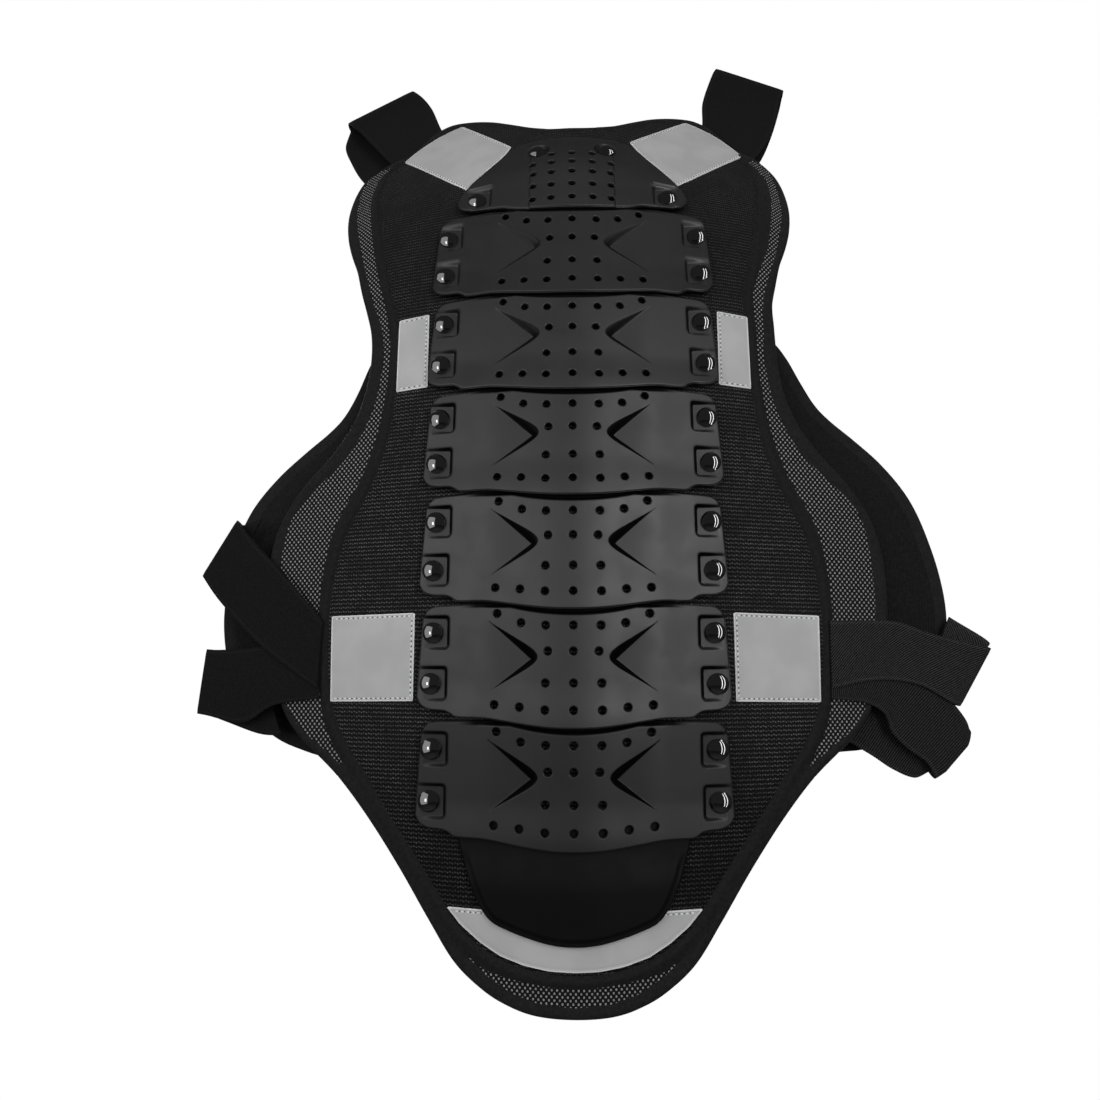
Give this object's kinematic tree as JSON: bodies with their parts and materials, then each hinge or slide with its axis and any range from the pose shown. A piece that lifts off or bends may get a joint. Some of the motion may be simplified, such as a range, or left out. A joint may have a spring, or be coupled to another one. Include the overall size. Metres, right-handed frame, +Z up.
{
  "type": "back protector",
  "caption": "Rider's back protector: shingled perforated armour plates riveted to a flexing padded textile panel, with kidney wings, waist straps and shoulder straps.",
  "frame": {"origin": "on the flat strip down the middle of the lining at the natural waist, behind the fourth spine plate counted from the top, at the point of the mount lining_face", "axes": "+X to the right of someone facing the plates, -Y out of the plates and away from the wearer, +Z up the spine to the neck"},
  "size_m": [0.4887, 0.1303, 0.6829],
  "materials": {
    "rivet_metal": "polished",
    "armour_plastic": "satin",
    "tail_plastic": "matt",
    "panel_textile": "knitted",
    "reflective_film": "reflective",
    "elastic": "ribbed",
    "webbing": "woven"
  },
  "bodies": {
    "neck_segment": {"back_panel_1": "panel_textile", "neck_plate": "armour_plastic", "rivet_neck_upper_left": "rivet_metal", "rivet_neck_upper_right": "rivet_metal", "rivet_neck_lower_left": "rivet_metal", "rivet_neck_lower_right": "rivet_metal", "reflective_upper_left": "reflective_film", "reflective_upper_right": "reflective_film"},
    "segment_2": {"back_panel_2": "panel_textile", "spine_plate_1": "armour_plastic", "rivet_1_upper_left": "rivet_metal", "rivet_1_upper_right": "rivet_metal", "rivet_1_lower_left": "rivet_metal", "rivet_1_lower_right": "rivet_metal"},
    "segment_3": {"back_panel_3": "panel_textile", "spine_plate_2": "armour_plastic", "rivet_2_upper_left": "rivet_metal", "rivet_2_upper_right": "rivet_metal", "rivet_2_lower_left": "rivet_metal", "rivet_2_lower_right": "rivet_metal", "reflective_middle_left": "reflective_film", "reflective_middle_right": "reflective_film"},
    "segment_4": {"back_panel_4": "panel_textile", "spine_plate_3": "armour_plastic", "rivet_3_upper_left": "rivet_metal", "rivet_3_upper_right": "rivet_metal", "rivet_3_lower_left": "rivet_metal", "rivet_3_lower_right": "rivet_metal"},
    "waist_segment": {"back_panel_5": "panel_textile", "spine_plate_4": "armour_plastic", "rivet_4_upper_left": "rivet_metal", "rivet_4_upper_right": "rivet_metal", "rivet_4_lower_left": "rivet_metal", "rivet_4_lower_right": "rivet_metal"},
    "segment_6": {"back_panel_6": "panel_textile", "spine_plate_5": "armour_plastic", "rivet_5_upper_left": "rivet_metal", "rivet_5_upper_right": "rivet_metal", "rivet_5_lower_left": "rivet_metal", "rivet_5_lower_right": "rivet_metal", "reflective_lower_left": "reflective_film", "reflective_lower_right": "reflective_film"},
    "segment_7": {"back_panel_7": "panel_textile", "spine_plate_6": "armour_plastic", "rivet_6_upper_left": "rivet_metal", "rivet_6_upper_right": "rivet_metal", "rivet_6_lower_left": "rivet_metal", "rivet_6_lower_right": "rivet_metal"},
    "tail_segment": {"back_panel_8": "panel_textile", "tail_plate": "tail_plastic", "reflective_bottom": "reflective_film"},
    "kidney_wing_left": {"kidney_wing_left": "elastic"},
    "waist_straps_left": {"waist_strap_upper_left": "webbing", "waist_strap_lower_left": "webbing"},
    "shoulder_strap_left": {"shoulder_strap_left": "webbing"},
    "kidney_wing_right": {"kidney_wing_right": "elastic"},
    "waist_straps_right": {"waist_strap_upper_right": "webbing", "waist_strap_lower_right": "webbing"},
    "shoulder_strap_right": {"shoulder_strap_right": "webbing"}
  },
  "joints": [
    {"name": "flex_4", "type": "hinge", "parent": "waist_segment", "child": "segment_4", "pos_m": [0, -0.00275, 0.01675], "axis": [-1, 0, 0], "range_deg": [-2, 4], "stiffness_Nm_per_rad": 14},
    {"name": "flex_3", "type": "hinge", "parent": "segment_4", "child": "segment_3", "pos_m": [0, -0.00206, 0.08121], "axis": [-1, 0, 0], "range_deg": [-2, 4], "stiffness_Nm_per_rad": 14},
    {"name": "flex_2", "type": "hinge", "parent": "segment_3", "child": "segment_2", "pos_m": [0, 0.00161, 0.14566], "axis": [-1, 0, 0], "range_deg": [-2, 4], "stiffness_Nm_per_rad": 14},
    {"name": "flex_1", "type": "hinge", "parent": "segment_2", "child": "neck_segment", "pos_m": [0, 0.00884, 0.20915], "axis": [-1, 0, 0], "range_deg": [-2, 4], "stiffness_Nm_per_rad": 14},
    {"name": "flex_5", "type": "hinge", "parent": "waist_segment", "child": "segment_6", "pos_m": [0, 0.00027, -0.04746], "axis": [1, 0, 0], "range_deg": [-2, 4], "stiffness_Nm_per_rad": 14},
    {"name": "flex_6", "type": "hinge", "parent": "segment_6", "child": "segment_7", "pos_m": [0, 0.00733, -0.11149], "axis": [1, 0, 0], "range_deg": [-2, 4], "stiffness_Nm_per_rad": 14},
    {"name": "flex_7", "type": "hinge", "parent": "segment_7", "child": "tail_segment", "pos_m": [0, 0.01688, -0.17403], "axis": [1, 0, 0], "range_deg": [-2, 4], "stiffness_Nm_per_rad": 14},
    {"name": "wing_left", "type": "hinge", "parent": "waist_segment", "child": "kidney_wing_left", "pos_m": [-0.12, 0.02416, -0.01436], "axis": [0, 0.0463, -0.9989], "range_deg": [0, 45], "stiffness_Nm_per_rad": 0.1},
    {"name": "wing_right", "type": "hinge", "parent": "waist_segment", "child": "kidney_wing_right", "pos_m": [0.12, 0.02416, -0.01436], "axis": [0, -0.0463, 0.9989], "range_deg": [0, 45], "stiffness_Nm_per_rad": 0.1},
    {"name": "waist_straps_left", "type": "hinge", "parent": "segment_6", "child": "waist_straps_left", "pos_m": [-0.149, 0.01987, -0.07352], "axis": [0, -0.1087, 0.9941], "range_deg": [0, 60], "stiffness_Nm_per_rad": 0.08},
    {"name": "waist_straps_right", "type": "hinge", "parent": "segment_6", "child": "waist_straps_right", "pos_m": [0.149, 0.01987, -0.07352], "axis": [0, 0.1087, -0.9941], "range_deg": [0, 60], "stiffness_Nm_per_rad": 0.08},
    {"name": "shoulder_strap_left", "type": "hinge", "parent": "neck_segment", "child": "shoulder_strap_left", "pos_m": [-0.114, 0.06842, 0.31883], "axis": [-0.6503, -0.1964, -0.7338], "range_deg": [-10, 60], "stiffness_Nm_per_rad": 0.12},
    {"name": "shoulder_strap_right", "type": "hinge", "parent": "neck_segment", "child": "shoulder_strap_right", "pos_m": [0.114, 0.06842, 0.31883], "axis": [-0.6503, 0.1964, 0.7338], "range_deg": [-10, 60], "stiffness_Nm_per_rad": 0.12}
  ]
}
